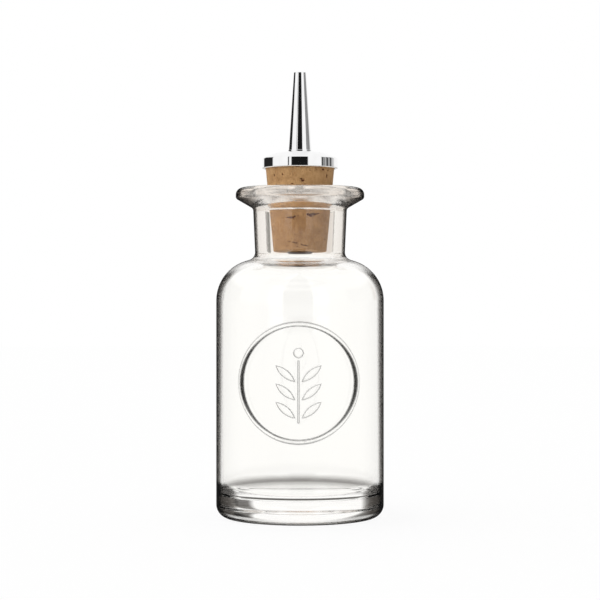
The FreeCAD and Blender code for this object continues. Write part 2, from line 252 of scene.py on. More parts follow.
def turned(name, outline, steps):
    """A new object in edit mode, turned on the upright axis from an outline drawn point by point."""
    deselect()
    bpy.ops.mesh.primitive_plane_add(size=MERGE_GAP, location=MIDDLE)
    piece = bpy.context.object
    piece.name = piece.data.name = name
    bpy.ops.object.mode_set(mode="EDIT")
    bpy.ops.mesh.merge(type="CENTER")
    bpy.ops.transform.translate(value=(outline[0][0], 0, outline[0][1]))
    for (r0, z0), (r1, z1) in zip(outline, outline[1:]):
        bpy.ops.mesh.extrude_region_move(TRANSFORM_OT_translate={"value": (r1 - r0, 0, z1 - z0)})
    bpy.ops.mesh.select_all(action="SELECT")
    bpy.ops.mesh.spin(steps=steps, angle=FULL_TURN, center=MIDDLE, axis=UPRIGHT_AXIS)
    bpy.ops.mesh.select_all(action="SELECT")
    bpy.ops.mesh.remove_doubles(threshold=MERGE_GAP)
    bpy.ops.mesh.normals_make_consistent(inside=False)
    return piece


def finished(piece, body, nodes, looks, crease):
    """Leaves edit mode, shades the piece, gives it its materials and sets it on its body."""
    bpy.ops.object.mode_set(mode="OBJECT")
    bpy.ops.object.shade_smooth_by_angle(angle=crease)
    for look in looks:
        piece.data.materials.append(look)
    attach(piece, body)
    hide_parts(*nodes)
    deselect()


def places(piece):
    """The piece's points as an array."""
    found = np.empty(len(piece.data.vertices) * 3, np.float32)
    piece.data.vertices.foreach_get("co", found)
    return found.reshape(-1, 3).astype(float)


def place(piece, points):
    """Moves the piece's points."""
    piece.data.vertices.foreach_set("co", points.astype(np.float32).ravel())
    piece.data.update()


def ease(x):
    """0 below 0, 1 above 1, and smooth between."""
    x = np.clip(x, 0, 1)
    return x * x * (3 - 2 * x)


def node(tree, kind, sockets=None, **options):
    """A new shader node with its options and inputs set or linked."""
    made = tree.nodes.new("ShaderNode" + kind)
    for option, value in options.items():
        setattr(made, option, value)
    for key, value in (sockets or {}).items():
        if isinstance(value, bpy.types.NodeSocket):
            tree.links.new(value, made.inputs[key])
        else:
            made.inputs[key].default_value = value
    return made


def maths(tree, operation, *values):
    """The result of a Math node."""
    return node(tree, "Math", dict(enumerate(values)), operation=operation).outputs[0]


def blended(tree, factor, first, second, how="MIX"):
    """The result of mixing two colours."""
    first, second = (c if isinstance(c, bpy.types.NodeSocket) else (*c, 1) for c in (first, second))
    options = {"data_type": "RGBA", "blend_type": how, "clamp_factor": True}
    return node(tree, "Mix", {0: factor, 6: first, 7: second}, **options).outputs[2]


def ramp(tree, factor, stops):
    """The colour of a ramp with stops of (position, grey or colour)."""
    made = node(tree, "ValToRGB", {0: factor})
    elements = made.color_ramp.elements
    for i, (position, value) in enumerate(stops):
        element = elements[i] if i < 2 else elements.new(position)
        element.position = position
        grey = isinstance(value, (int, float))
        element.color = (value, value, value, 1) if grey else (*value, 1)
    return made.outputs[0]


def stretch(tree, value, low, high, to_low=0.0, to_high=1.0, how="SMOOTHSTEP"):
    """A value mapped from one range to another."""
    return node(
        tree, "MapRange", {0: value, 1: low, 2: high, 3: to_low, 4: to_high}, interpolation_type=how
    ).outputs[0]


def material(name):
    """A new material with its node tree and main shader."""
    made = bpy.data.materials.new(name)
    made.use_nodes = True
    return made, made.node_tree, made.node_tree.nodes["Principled BSDF"]


def noise_at(tree, coordinates, scale, detail=2.0, roughness=0.5, stretched=None):
    """The grey of a noise texture, stretched along an axis where asked."""
    if stretched:
        coordinates = node(tree, "Mapping", {0: coordinates, 3: stretched}).outputs[0]
    return node(
        tree, "TexNoise", {"Vector": coordinates, "Scale": scale, "Detail": detail, "Roughness": roughness}
    ).outputs[0]


def from_axis(tree, across, back):
    """How far a point lies from the upright axis."""
    squares = maths(tree, "MULTIPLY_ADD", across, across, maths(tree, "MULTIPLY", back, back))
    return maths(tree, "SQRT", squares)


def warmed(stops):
    """Stops whose darker greys are a little warm."""
    return [(position, (c, c ** (1 + WARMTH), c ** (1 + 2 * WARMTH))) for position, c in stops]


RISING, FALLING = (0.0, 1.0), (1.0, 0.0)
NOISE_RANGE = (0.3, 0.7)
PLAIN_FACING = 0.5

GLASS_IOR = 1.5
STREAK_SCALE, STREAK_STRETCH, STREAK_TONE = 90, (1, 1, 0.15), 0.985
RIPPLE_SCALE, RIPPLE_STRETCH = 70, (1, 1, 0.25)
RIPPLE_STRENGTH, RIPPLE_DEPTH = 0.02, 0.001
# How far a normal points up, where one kind of surface passes into the next.
WALL_TO_SLOPE = (0.05, 0.4)
SLOPE_TO_TOP = (0.6, 0.9)
HEEL_TO_WALL = (-0.75, -0.45)
FOOT_TO_WALL = (-0.75, -0.35)
# Heights, and for ROOT_END distances from the axis, over which an effect comes in or ends.
HEEL_END = (0.006, 0.008)
BASE_END = (0.0103, 0.0118)
BASE_NARROWS, BASE_NARROWING = (0.0092, 0.0114), 0.2
ROOT_END = (0.0155, 0.0200)
FLOOR_BEND_TOP = 0.0113
# How far the normal of an upright wall is leant upwards, so that the wall stays clear from above.
LEAN = 0.35
# Painted edge shade, for the dark studio that the glass refracts at its edges: the colour, from seen
# squarely at 0 to seen along its length at 1.
EDGE_SHADE_STOPS = warmed([
    (0.59, 1.0), (0.615, 0.75), (0.64, 0.34), (0.67, 0.11),
    (0.70, 0.04), (0.75, 0.014), (0.80, 0.005), (0.86, 0.0005),
])
BASE_EDGE_SHADE_STOPS = warmed([
    (0.28, 1.0), (0.32, 0.3), (0.36, 0.06), (0.41, 0.024), (0.46, 0.015), (0.63, 0.005),
])
HEEL_EDGE_SHADE_STOPS = warmed([(0.33, 1.0), (0.41, 0.6), (0.49, 0.25), (0.57, 0.06), (0.67, 0.01)])
TOP_EDGE_SHADE_STOPS = warmed([(0.86, 1.0), (0.91, 0.5), (0.94, 0.15), (0.965, 0.02), (0.99, 0.001)])
# Painted shade at the bend of the floor, for the darkness its rounding shows by refraction, by height as a
# share of FLOOR_BEND_TOP.
FLOOR_SHADE_STOPS = warmed([
    (0.593, 1.0), (0.61, 0.8), (0.64, 0.5), (0.675, 0.33), (0.715, 0.2), (0.735, 0.06),
    (0.765, 0.06), (0.806, 0.14), (0.85, 0.36), (0.894, 0.66), (0.938, 0.9), (0.98, 1.0),
])
# The roughness of the inside, by height as a share of the height of the glass.
WORKED_STOPS = [(0.71, 0.0), (0.74, 0.12), (0.775, 0.12), (0.795, 0.0), (0.94, 0.0), (0.957, 0.2)]


def glass_material(name, settings, edges):
    """Clear glass with a faint ripple: the outside, with painted edge shade, where edges is true, or else
    the inside, with painted shade at the bend of the floor.
    """
    made, tree, shader = material(name)
    spot = node(tree, "TexCoord").outputs["Object"]
    across, back, height = node(tree, "SeparateXYZ", {0: spot}).outputs
    shader.inputs["Transmission Weight"].default_value = 1.0
    shader.inputs["IOR"].default_value = GLASS_IOR
    shader.inputs["Roughness"].default_value = 0.0
    streaks = noise_at(tree, spot, STREAK_SCALE, stretched=STREAK_STRETCH)
    tones = (tuple(STREAK_TONE * c for c in settings.tint), tuple(settings.tint))
    clear = ramp(tree, streaks, list(zip(NOISE_RANGE, tones)))
    if edges:
        clear = painted_edge_shade(tree, height, clear, settings)
    else:
        clear = painted_floor_shade(tree, height, clear)
        worked = ramp(tree, maths(tree, "DIVIDE", height, GLASS_HIGH.z), WORKED_STOPS)
        root = stretch(tree, from_axis(tree, across, back), *ROOT_END, *FALLING)
        tree.links.new(maths(tree, "MULTIPLY", worked, root), shader.inputs["Roughness"])
    tree.links.new(clear, shader.inputs["Base Color"])
    ripple = noise_at(tree, spot, RIPPLE_SCALE, detail=1, roughness=0.4, stretched=RIPPLE_STRETCH)
    bump = node(tree, "Bump", {"Strength": RIPPLE_STRENGTH, "Distance": RIPPLE_DEPTH, "Height": ripple})
    tree.links.new(bump.outputs[0], shader.inputs["Normal"])
    return made


def painted_edge_shade(tree, height, clear, settings):
    """The outside's colour: painted shade where seen along its length and along the relief's edges, warm at
    neck and lip.
    """
    normal = node(tree, "NewGeometry").outputs["Normal"]
    upward = node(tree, "SeparateXYZ", {0: normal}).outputs[2]
    lean = stretch(tree, maths(tree, "ABSOLUTE", upward), *WALL_TO_SLOPE, LEAN, 0.0)
    lean = node(tree, "CombineXYZ", {2: lean}).outputs[0]
    leaning = node(tree, "VectorMath", {0: normal, 1: lean}, operation="ADD").outputs[0]
    facing = node(tree, "LayerWeight", {0: PLAIN_FACING, 1: leaning}).outputs["Facing"]
    # Painted shade where the glass is seen along its length, with ramps of its own at top, heel and base.
    along = ramp(tree, facing, EDGE_SHADE_STOPS)
    along = blended(tree, stretch(tree, upward, *SLOPE_TO_TOP), along, ramp(tree, facing, TOP_EDGE_SHADE_STOPS))
    heel = stretch(tree, upward, *HEEL_TO_WALL, *FALLING)
    heel = maths(tree, "MULTIPLY", heel, stretch(tree, height, *HEEL_END, *FALLING))
    along = blended(tree, heel, along, ramp(tree, facing, HEEL_EDGE_SHADE_STOPS))
    base = stretch(tree, upward, *FOOT_TO_WALL)
    base = maths(tree, "MULTIPLY", base, stretch(tree, height, *BASE_END, *FALLING))
    narrowing = stretch(tree, height, *BASE_NARROWS, 0.0, BASE_NARROWING, "LINEAR")
    narrowed = maths(tree, "SUBTRACT", facing, narrowing)
    along = blended(tree, base, along, ramp(tree, narrowed, BASE_EDGE_SHADE_STOPS), "MULTIPLY")
    clear = blended(tree, 1.0, clear, along, "MULTIPLY")
    lip = stretch(tree, height, settings.neck_top, settings.lip_under)
    tone = blended(tree, lip, tuple(settings.neck_tint), tuple(settings.lip_tint))
    neck = stretch(tree, height, settings.neck_root, settings.neck_root + settings.neck_root_round)
    clear = blended(tree, neck, clear, tone, "MULTIPLY")
    # Painted shade along the edges of the relief.
    painted_flank_shade = node(tree, "Attribute", attribute_name="painted_flank_shade").outputs["Fac"]
    return blended(tree, painted_flank_shade, clear, tuple(settings.relief_line_shade))


def painted_floor_shade(tree, height, clear):
    """The inside's colour: painted shade at the bend of the floor, where it is seen from the hollow."""
    from_hollow = maths(tree, "SUBTRACT", 1.0, node(tree, "NewGeometry").outputs["Backfacing"])
    # Painted shade by height at the bend of the floor.
    bend = ramp(tree, maths(tree, "DIVIDE", height, FLOOR_BEND_TOP), FLOOR_SHADE_STOPS)
    return blended(tree, from_hollow, clear, bend, "MULTIPLY")


MOTTLE_SCALE, MOTTLE_RANGE = 380, (0.28, 0.66)
GRAIN_SCALE, GRAIN_STRETCH, GRAIN_STOPS = 2300, (1, 1, 0.45), [(0.38, 0.0), (0.7, 0.6)]
SPECK_SCALE, SPECK_STOPS = 1900, [(0.66, 0.0), (0.74, 0.7)]
RAGGED_SCALE, RAGGED_GAIN = 2600, (0.35, 1.65)
PORE_EDGE = (0.3, 0.8)
# Heights over which the warmer tone of the part in the neck gives way.
NECK_TONE_END = (0.0945, 0.0975)
CORK_ROUGHNESS, CORK_GLOSS = (0.68, 0.92), 0.25
GRAIN_STRENGTH, GRAIN_DEPTH = 0.5, 0.0002


def cork_material(settings):
    """Natural cork: mottled bark, fine grain, specks and dark pores."""
    made, tree, shader = material("natural_cork")
    spot = node(tree, "TexCoord").outputs["Object"]
    height = node(tree, "SeparateXYZ", {0: spot}).outputs[2]
    dark, light, pit = tuple(settings.dark), tuple(settings.light), tuple(settings.pit)
    mottle = noise_at(tree, spot, MOTTLE_SCALE, detail=5, roughness=0.62)
    base = ramp(tree, mottle, list(zip(MOTTLE_RANGE, (dark, light))))
    grain = noise_at(tree, spot, GRAIN_SCALE, detail=3, roughness=0.65, stretched=GRAIN_STRETCH)
    base = blended(tree, ramp(tree, grain, GRAIN_STOPS), base, dark)
    specks = noise_at(tree, spot, SPECK_SCALE)
    base = blended(tree, ramp(tree, specks, SPECK_STOPS), base, pit)
    ragged = noise_at(tree, spot, RAGGED_SCALE, roughness=0.6)
    ragged = stretch(tree, ragged, *RISING, *RAGGED_GAIN, "LINEAR")
    pores = maths(tree, "MULTIPLY", node(tree, "Attribute", attribute_name="pore").outputs["Fac"], ragged)
    base = blended(tree, stretch(tree, pores, *PORE_EDGE), base, pit)
    # Warmer tone below the lip, where the cork sits in the neck.
    cork_neck_tone = stretch(tree, height, *NECK_TONE_END, *FALLING)
    base = blended(tree, cork_neck_tone, base, tuple(settings.cork_neck_tone), "MULTIPLY")
    tree.links.new(base, shader.inputs["Base Color"])
    tree.links.new(stretch(tree, grain, *NOISE_RANGE, *CORK_ROUGHNESS), shader.inputs["Roughness"])
    shader.inputs["Specular IOR Level"].default_value = CORK_GLOSS
    bump = node(tree, "Bump", {"Strength": GRAIN_STRENGTH, "Distance": GRAIN_DEPTH, "Height": grain})
    tree.links.new(bump.outputs[0], shader.inputs["Normal"])
    return made


CLOUD_SCALE, CLOUD_TONE = 300, 0.94
# The roughness of the polish, and the scale and stretch of the turning marks.
CHROME_POLISH, CHROME_MARKS, CHROME_MARK_STRETCH = (0.03, 0.07), 900, (1, 1, 0.2)
STEEL_POLISH, STEEL_MARKS, STEEL_MARK_STRETCH = (0.28, 0.42), 1600, (0.3, 0.3, 1)


def metal_material(name, tone, polish, mark_scale, mark_stretch):
    """Bare metal whose polish varies a little, with fine turning marks."""
    made, tree, shader = material(name)
    spot = node(tree, "TexCoord").outputs["Object"]
    cloud = noise_at(tree, spot, CLOUD_SCALE, detail=3, roughness=0.6)
    marks = noise_at(tree, spot, mark_scale, stretched=mark_stretch)
    tones = (tuple(CLOUD_TONE * c for c in tone), tuple(tone))
    shader.inputs["Metallic"].default_value = 1.0
    tree.links.new(ramp(tree, cloud, list(zip(NOISE_RANGE, tones))), shader.inputs["Base Color"])
    tree.links.new(stretch(tree, marks, *NOISE_RANGE, *polish), shader.inputs["Roughness"])
    return made


def vesica(x, z, base, tip, bow):
    """How far inside a leaf a point lies, from base to tip, where two circles of radius bow overlap."""
    base, tip = np.array(base), np.array(tip)
    along = tip - base
    half = np.linalg.norm(along) / 2
    along = along / (2 * half)
    across = np.array((-along[1], along[0]))
    middle, reach = (base + tip) / 2, math.sqrt(bow**2 - half**2)
    ends = [
        np.hypot(x - middle[0] - side * reach * across[0], z - middle[1] - side * reach * across[1])
        for side in (1, -1)
    ]
    return bow - np.maximum(*ends)


# The sprig, in metres from the middle of the medallion.
FLANK_WIDTH = 0.0003
STEM_BOTTOM, STEM_TOP, STEM_HALF_WIDTH = -0.0115, 0.0065, 0.0004
LEAF_PAIRS, LEAF_STEP, LEAF_ROOT = 3, 0.0052, (0.0009, 0.0014)
LEAF_LENGTH, LEAF_RISE, LEAF_BOW = 0.0074, math.radians(40), 0.0066
BUD_RADIUS, BUD_RISE = 0.0015, 0.0021


def medallion(x, z, settings):
    """How far the medallion, a round band and a leaf sprig, stands out at each point, from 0 to 1."""
    z = z - settings.medallion_height
    band = settings.medallion_band / 2
    height = ease((band - np.abs(np.hypot(x, z) - settings.medallion_radius + band)) / FLANK_WIDTH)
    side = np.abs(x)
    stem = np.minimum(STEM_HALF_WIDTH - side, np.minimum(z - STEM_BOTTOM, STEM_TOP - z))
    height = np.maximum(height, ease(stem / FLANK_WIDTH))
    for pair in range(LEAF_PAIRS):
        root = (LEAF_ROOT[0], STEM_BOTTOM + LEAF_ROOT[1] + LEAF_STEP * pair)
        tip = (root[0] + LEAF_LENGTH * math.cos(LEAF_RISE), root[1] + LEAF_LENGTH * math.sin(LEAF_RISE))
        height = np.maximum(height, ease(vesica(side, z, root, tip, LEAF_BOW) / FLANK_WIDTH))
    bud = BUD_RADIUS - np.hypot(x, z - STEM_TOP - BUD_RISE)
    return np.maximum(height, ease(bud / FLANK_WIDTH))


# Painted shade of the relief's lines: how dark a line is where its edge is level, and what an upright edge
# adds.
SPRIG_DARK, INNER_DARK, OUTER_DARK = (0.55, 0.3), (0.72, 0.26), (0.85, -0.5)
SLOPE_TO_DARK, SLOPE_STEP = 0.00025, 0.00002
LINE_WIDTH, LINE_SWELL = 0.00018, 0.00034
RING_REACH_SHARE = 3


def painted_relief_shade(x, z, settings):
    """Painted shade along the edges of the medallion, for the darkness its steep flanks show by refraction,
    at each point from 0 to 1.
    """
    step = SLOPE_STEP
    along = (medallion(x + step, z, settings) - medallion(x - step, z, settings)) / (2 * step)
    up = (medallion(x, z + step, settings) - medallion(x, z - step, settings)) / (2 * step)
    steep = np.hypot(along, up)
    upright = np.abs(along) / np.maximum(steep, MERGE_GAP)
    sprig = np.clip(steep * SLOPE_TO_DARK, 0, 1) * (SPRIG_DARK[0] + SPRIG_DARK[1] * upright)
    around = np.hypot(x, z - settings.medallion_height)
    sideways = np.abs(x) / around
    ring = around > settings.medallion_radius - RING_REACH_SHARE * settings.medallion_band
    inner = around - settings.medallion_radius + settings.medallion_band
    inner = inner / (LINE_WIDTH + LINE_SWELL * sideways**3)
    outer = (around - settings.medallion_radius) / LINE_WIDTH
    lines = np.maximum(
        (INNER_DARK[0] + INNER_DARK[1] * sideways) * np.exp(-inner**4),
        (OUTER_DARK[0] + OUTER_DARK[1] * sideways) * np.exp(-outer**2),
    )
    return 1 - (1 - np.where(ring, lines, sprig)) ** 2


GLASS_STEPS, GLASS_BEND, GLASS_CREASE = 192, math.radians(4), math.radians(60)
RELIEF_MARGIN, RELIEF_CUTS = 0.0012, 3
# How far inside the body's radius a point still counts as its outside.
SKIN = 0.0003
HEEL_TOP_SHARE = 0.9
WALL_SAMPLES = 4


class DASH_OT_glass(bpy.types.Operator):
    """Turns the glass and raises its medallion"""

    bl_idname = "dash.glass"
    bl_label = "Moulded glass"

    def execute(self, context):
        s = context.scene.dash_glass
        reach = s.medallion_radius + RELIEF_MARGIN
        low, high = s.medallion_height - reach, s.medallion_height + reach
        outline = self.outline(s, low, high)
        piece = turned("moulded_glass", outline, GLASS_STEPS)
        self.refine(piece, s, reach, low, high)
        self.emboss(piece, s, low, high)
        self.sort_faces(piece, s, outline)
        looks = [glass_material("clear_glass", s, True), glass_material("clear_glass_inside", s, False)]
        finished(piece, "bottle", ["glass_bottle"], looks, GLASS_CREASE)
        return {"FINISHED"}

    def outline(self, s, low, high):
        """The outline from under the foot to the inner floor, with rows of points behind the medallion."""
        inner = s.body_radius - s.wall
        foot_inner = s.body_radius - s.heel_round - s.foot_width
        top = GLASS_HIGH.z
        outside = [
            (0, s.punt_height, SHARP),
            (foot_inner - s.punt_slope, s.punt_height, s.punt_round),
            (foot_inner, 0, SHARP),
            (s.body_radius, 0, s.heel_round),
            (s.body_radius, s.body_height, s.shoulder_round),
            (s.neck_root_radius, s.neck_root, s.neck_root_round),
            (s.neck_top_radius, s.neck_top, s.neck_top_round),
            (s.lip_radius, s.lip_under, s.lip_under_round),
            (s.lip_radius, top, s.lip_top_round),
            (s.mouth_radius, top, s.mouth_round),
        ]
        inside = [
            (s.throat_top_radius, s.throat_top, s.throat_top_round),
            (s.throat_bottom_radius, s.throat_bottom, s.throat_round),
            (s.bore_top_radius, s.bore_top, s.throat_round),
            (s.bore_root_radius, s.bore_root, s.bore_root_round),
            (inner, s.inner_shoulder, s.shoulder_round - s.wall),
            (inner, s.floor_height, s.floor_round),
            (0, s.floor_height, SHARP),
        ]
        points = rounded(outside + inside, GLASS_BEND)
        heel_top = s.heel_round * HEEL_TOP_SHARE
        lower = next(i for i, (r, z) in enumerate(points) if z > heel_top and r > s.body_radius - MERGE_GAP)
        wall_top = points[lower + 1][1]
        cell = FULL_TURN * s.body_radius / GLASS_STEPS
        count = round((high - low) / cell)
        rows = [low + (high - low) * k / count for k in range(count + 1)]
        points[lower + 1:lower + 1] = [(s.body_radius, z) for z in rows if s.heel_round < z < wall_top]
        return points

    def refine(self, piece, s, reach, low, high):
        """Divides the faces behind the medallion."""
        bpy.ops.mesh.select_mode(type="FACE")
        bpy.ops.mesh.select_all(action="DESELECT")
        form = bmesh.from_edit_mesh(piece.data)
        for face in form.faces:
            p = face.calc_center_median()
            outer = math.hypot(p.x, p.y) > s.body_radius - SKIN
            if outer and p.y < 0 and abs(p.x) < reach and low < p.z < high:
                face.select_set(True)
        bmesh.update_edit_mesh(piece.data)
        bpy.ops.mesh.subdivide(number_cuts=RELIEF_CUTS, smoothness=0.0)
        bpy.ops.mesh.select_mode(type="VERT")
        bpy.ops.object.mode_set(mode="OBJECT")

    def emboss(self, piece, s, low, high):
        """Raises the medallion and marks its flanks with painted shade."""
        p = places(piece)
        around = np.hypot(p[:, 0], p[:, 1])
        front = (around > s.body_radius - SKIN) & (p[:, 1] < 0)
        front &= (p[:, 2] > low - MERGE_GAP) & (p[:, 2] < high + MERGE_GAP)
        x = p[front, 0] / around[front] * s.body_radius
        # Painted shade along the edges of the medallion, kept on the points.
        steep = np.zeros(len(p))
        steep[front] = painted_relief_shade(x, p[front, 2], s)
        raised = s.body_radius + s.relief * medallion(x, p[front, 2], s)
        p[front, :2] *= (raised / around[front])[:, None]
        place(piece, p)
        mark = piece.data.attributes.new("painted_flank_shade", "FLOAT", "POINT")
        mark.data.foreach_set("value", steep.astype(np.float32))

    def sort_faces(self, piece, s, outline):
        """Gives the second material to the faces inside the mouth."""
        dense = divided(outline, s.wall / WALL_SAMPLES)
        mouth = max(i for i, (r, z) in enumerate(dense) if z > GLASS_HIGH.z - MERGE_GAP)
        nearest = kdtree.KDTree(len(dense))
        for i, (r, z) in enumerate(dense):
            nearest.insert((r, z, 0), i)
        nearest.balance()
        for face in piece.data.polygons:
            c = face.center
            face.material_index = int(nearest.find((math.hypot(c.x, c.y), c.z, 0))[1] > mouth)


CORK_STEPS, CORK_BEND, CORK_SPACING, CORK_CREASE = 256, math.radians(12), 0.00022, math.radians(50)
CORK_SEED = 7
# Marks that show: turn from the front, height, half width, half height and tilt.
CORK_MARKS = [
    (-0.30, 0.0892, 0.0021, 0.00035, 0.05), (-0.25, 0.0891, 0.0011, 0.0005, 0.1),
    (-0.16, 0.0894, 0.0006, 0.0004, 0.3), (0.27, 0.0901, 0.0007, 0.00055, 0.25),
    (0.36, 0.0897, 0.0012, 0.0005, -0.1), (0.47, 0.0901, 0.0008, 0.0005, 0.1),
    (0.60, 0.0903, 0.0010, 0.00035, 0.2), (0.42, 0.0902, 0.0023, 0.0003, 0.08),
    (-1.1, 0.0905, 0.0006, 0.0005, 0.3), (-1.15, 0.0884, 0.0004, 0.0006, 0.0),
    (-1.0, 0.0870, 0.0004, 0.0005, 0.4), (-1.2, 0.0858, 0.0004, 0.0005, 0.2),
    (1.15, 0.0880, 0.0004, 0.0007, 0.1), (-0.16, 0.0817, 0.0015, 0.00022, -0.2),
    (0.18, 0.0809, 0.0016, 0.00022, -0.12), (-0.35, 0.0821, 0.0007, 0.0002, -0.3),
    (-0.85, 0.1017, 0.0003, 0.0007, 0.1), (-0.53, 0.1018, 0.0004, 0.0005, 0.1),
    (0.105, 0.0999, 0.0008, 0.0005, 0.3), (0.05, 0.1004, 0.0005, 0.0004, 0.0),
    (-0.22, 0.0990, 0.0005, 0.0003, 0.0), (0.165, 0.0988, 0.0005, 0.0003, 0.0),
    (0.77, 0.1033, 0.0006, 0.0006, 0.1), (0.98, 0.1031, 0.0003, 0.0006, 0.0),
    (0.95, 0.1014, 0.0004, 0.0009, 0.1),
]
# Scattered pores: how many, their half widths, half heights and largest tilt.
CORK_PORES = [
    (150, (0.00012, 0.0003), (0.00012, 0.0003), 0.5),
    (20, (0.0005, 0.0011), (0.00013, 0.00022), 0.2),
]
PORE_STEEPNESS, PORE_DEPTH_LIMIT, PORE_DEPTH_SHARE = 1.4, 0.0004, 0.9
BORE_RIM = 0.001


class DASH_OT_cork(bpy.types.Operator):
    """Turns the cork and opens its pores"""

    bl_idname = "dash.cork"
    bl_label = "Natural cork"

    def execute(self, context):
        s = context.scene.dash_cork
        low, high = CORK_LOW.z, CORK_HIGH.z
        outline = divided(rounded([
            (s.bore_radius, low, SHARP),
            (s.bottom_radius, low, s.edge_round),
            (s.top_radius, high, s.edge_round),
            (s.bore_radius, high, SHARP),
        ], CORK_BEND), CORK_SPACING)
        outline.append((s.bore_radius, low))
        piece = turned("cork_body", outline, CORK_STEPS)
        bpy.ops.object.mode_set(mode="OBJECT")
        self.open_pores(piece, s, low, high)
        finished(piece, "cork", ["cork_stopper"], [cork_material(s)], CORK_CREASE)
        return {"FINISHED"}

    def open_pores(self, piece, s, low, high):
        """Sinks the pores into the cork's side and marks them."""
        p = places(piece)
        around = np.hypot(p[:, 0], p[:, 1])
        turn = np.arctan2(p[:, 0], -p[:, 1])
        draw = random.Random(CORK_SEED)
        depth, pore = np.zeros(len(p)), np.zeros(len(p))
        pores = list(CORK_MARKS)
        for count, wide, tall, tilt in CORK_PORES:
            for _ in range(count):
                pores.append((
                    draw.uniform(-math.pi, math.pi), draw.uniform(low, high),
                    draw.uniform(*wide), draw.uniform(*tall), draw.uniform(-tilt, tilt),
                ))
        for a, z, wide, tall, tilt in pores:
            du = ((turn - a + math.pi) % FULL_TURN - math.pi) * around
            dv = p[:, 2] - z
            u, v = du * math.cos(tilt) + dv * math.sin(tilt), dv * math.cos(tilt) - du * math.sin(tilt)
            inside = ease(PORE_STEEPNESS * (1 - np.hypot(u / wide, v / tall)))
            pore = np.maximum(pore, inside)
            depth = np.maximum(depth, inside * min(PORE_DEPTH_LIMIT, PORE_DEPTH_SHARE * min(wide, tall)))
        side = ease((around - s.bore_radius - BORE_RIM) / BORE_RIM)
        shrink = 1 - depth * side / np.maximum(around, MERGE_GAP)
        p[:, :2] *= shrink[:, None]
        place(piece, p)
        mark = piece.data.attributes.new("pore", "FLOAT", "POINT")
        mark.data.foreach_set("value", (pore * side).astype(np.float32))


FITTING_BEND, FITTING_CREASE = math.radians(4), math.radians(40)
CAP_STEPS, SPOUT_STEPS, TUBE_STEPS = 192, 128, 96


class DASH_OT_fitting(bpy.types.Operator):
    """Turns the cap, the spout, the tube and the washer"""

    bl_idname = "dash.fitting"
    bl_label = "Pour fitting"

    def execute(self, context):
        s = context.scene.dash_fitting
        chrome = metal_material("bright_chrome", s.chrome, CHROME_POLISH, CHROME_MARKS, CHROME_MARK_STRETCH)
        # The steel's dark colour is painted shade.
        steel_with_painted_shade = metal_material("plain_steel", s.steel_with_painted_shade, STEEL_POLISH, STEEL_MARKS, STEEL_MARK_STRETCH)
        cap = [
            (s.tube_radius, s.cap_recess, SHARP),
            (s.cap_recess_radius, s.cap_recess, SHARP),
            (s.cap_recess_radius, CAP_LOW.z, SHARP),
            (s.cap_radius, CAP_LOW.z, s.cap_edge_round),
            (s.cap_radius, s.cap_rim, s.cap_rim_round),
            (s.dome_turn_radius, s.dome_turn_height, s.dome_round),
            (s.foot_radius, CAP_HIGH.z, SHARP),
            (s.tube_radius, CAP_HIGH.z, SHARP),
        ]
        spout = [
            (s.spigot_bore, SPOUT_LOW.z, SHARP),
            (s.tube_bore, SPOUT_LOW.z, SHARP),
            (s.tube_bore, CAP_HIGH.z, SHARP),
            (s.foot_radius, CAP_HIGH.z, SHARP),
            (s.foot_radius, s.foot_top, SHARP),
            (s.base_radius, s.foot_top, s.foot_round),
            (s.tip_radius, SPOUT_HIGH.z, s.tip_round),
            (s.hole_radius, SPOUT_HIGH.z, SHARP),
            (s.hole_radius, SPOUT_HIGH.z - s.hole_land, SHARP),
            (s.spigot_bore, CAP_HIGH.z, SHARP),
        ]
        tube = [
            (s.tube_bore, TUBE_LOW.z, SHARP),
            (TUBE_HIGH.x, TUBE_LOW.z, s.flare_round),
            (TUBE_HIGH.x, WASHER_LOW.z, SHARP),
            (s.tube_radius, WASHER_LOW.z, SHARP),
            (s.tube_radius, TUBE_HIGH.z, SHARP),
            (s.tube_bore, TUBE_HIGH.z, SHARP),
        ]
        washer = [
            (s.tube_radius, WASHER_LOW.z, SHARP),
            (WASHER_HIGH.x, WASHER_LOW.z, s.washer_round),
            (WASHER_HIGH.x, WASHER_HIGH.z, s.washer_round),
            (s.tube_radius, WASHER_HIGH.z, SHARP),
        ]
        for name, corners, steps, node_name, slot, look in (
            ("domed_cap", cap, CAP_STEPS, "dasher_cap", "bright_chrome", chrome),
            ("tapered_spout", spout, SPOUT_STEPS, "dasher_spout", "bright_chrome", chrome),
            ("flared_tube", tube, TUBE_STEPS, "pour_tube", "plain_steel", steel_with_painted_shade),
            ("end_washer", washer, TUBE_STEPS, "retaining_washer", "plain_steel", steel_with_painted_shade),
        ):
            piece = turned(name, rounded([*corners, corners[0]], FITTING_BEND), steps)
            finished(piece, "dasher", [node_name], [look], FITTING_CREASE)
        return {"FINISHED"}


WHITE = (1, 1, 1)
SENSOR_WIDTH, CLIP_START = 36, 0.01
ALL_BOUNCES, GLASS_BOUNCES, MIRROR_BOUNCES = 32, 24, 16
FLOOR_SIDES, FLOOR_TONE = 128, (0.95, 0.95, 0.95)
# The dark patch under the foot, where it ends, and the ring of it that shows after a bounce in the glass.
SHADE_SIDES, SHADE_RADIUS, SHADE_DROP, SHADE_TONE = 96, 0.03, 0.0004, (0.1, 0.095, 0.088)
SHADE_END = (0.024, 0.028)
MIRRORED_START, MIRRORED_END = (0.0160, 0.0170), (0.0210, 0.0215)
# Depths above which a ray has met a surface once, and above which it has passed both walls.
ONCE, BOTH_WALLS = 0.5, 3.5
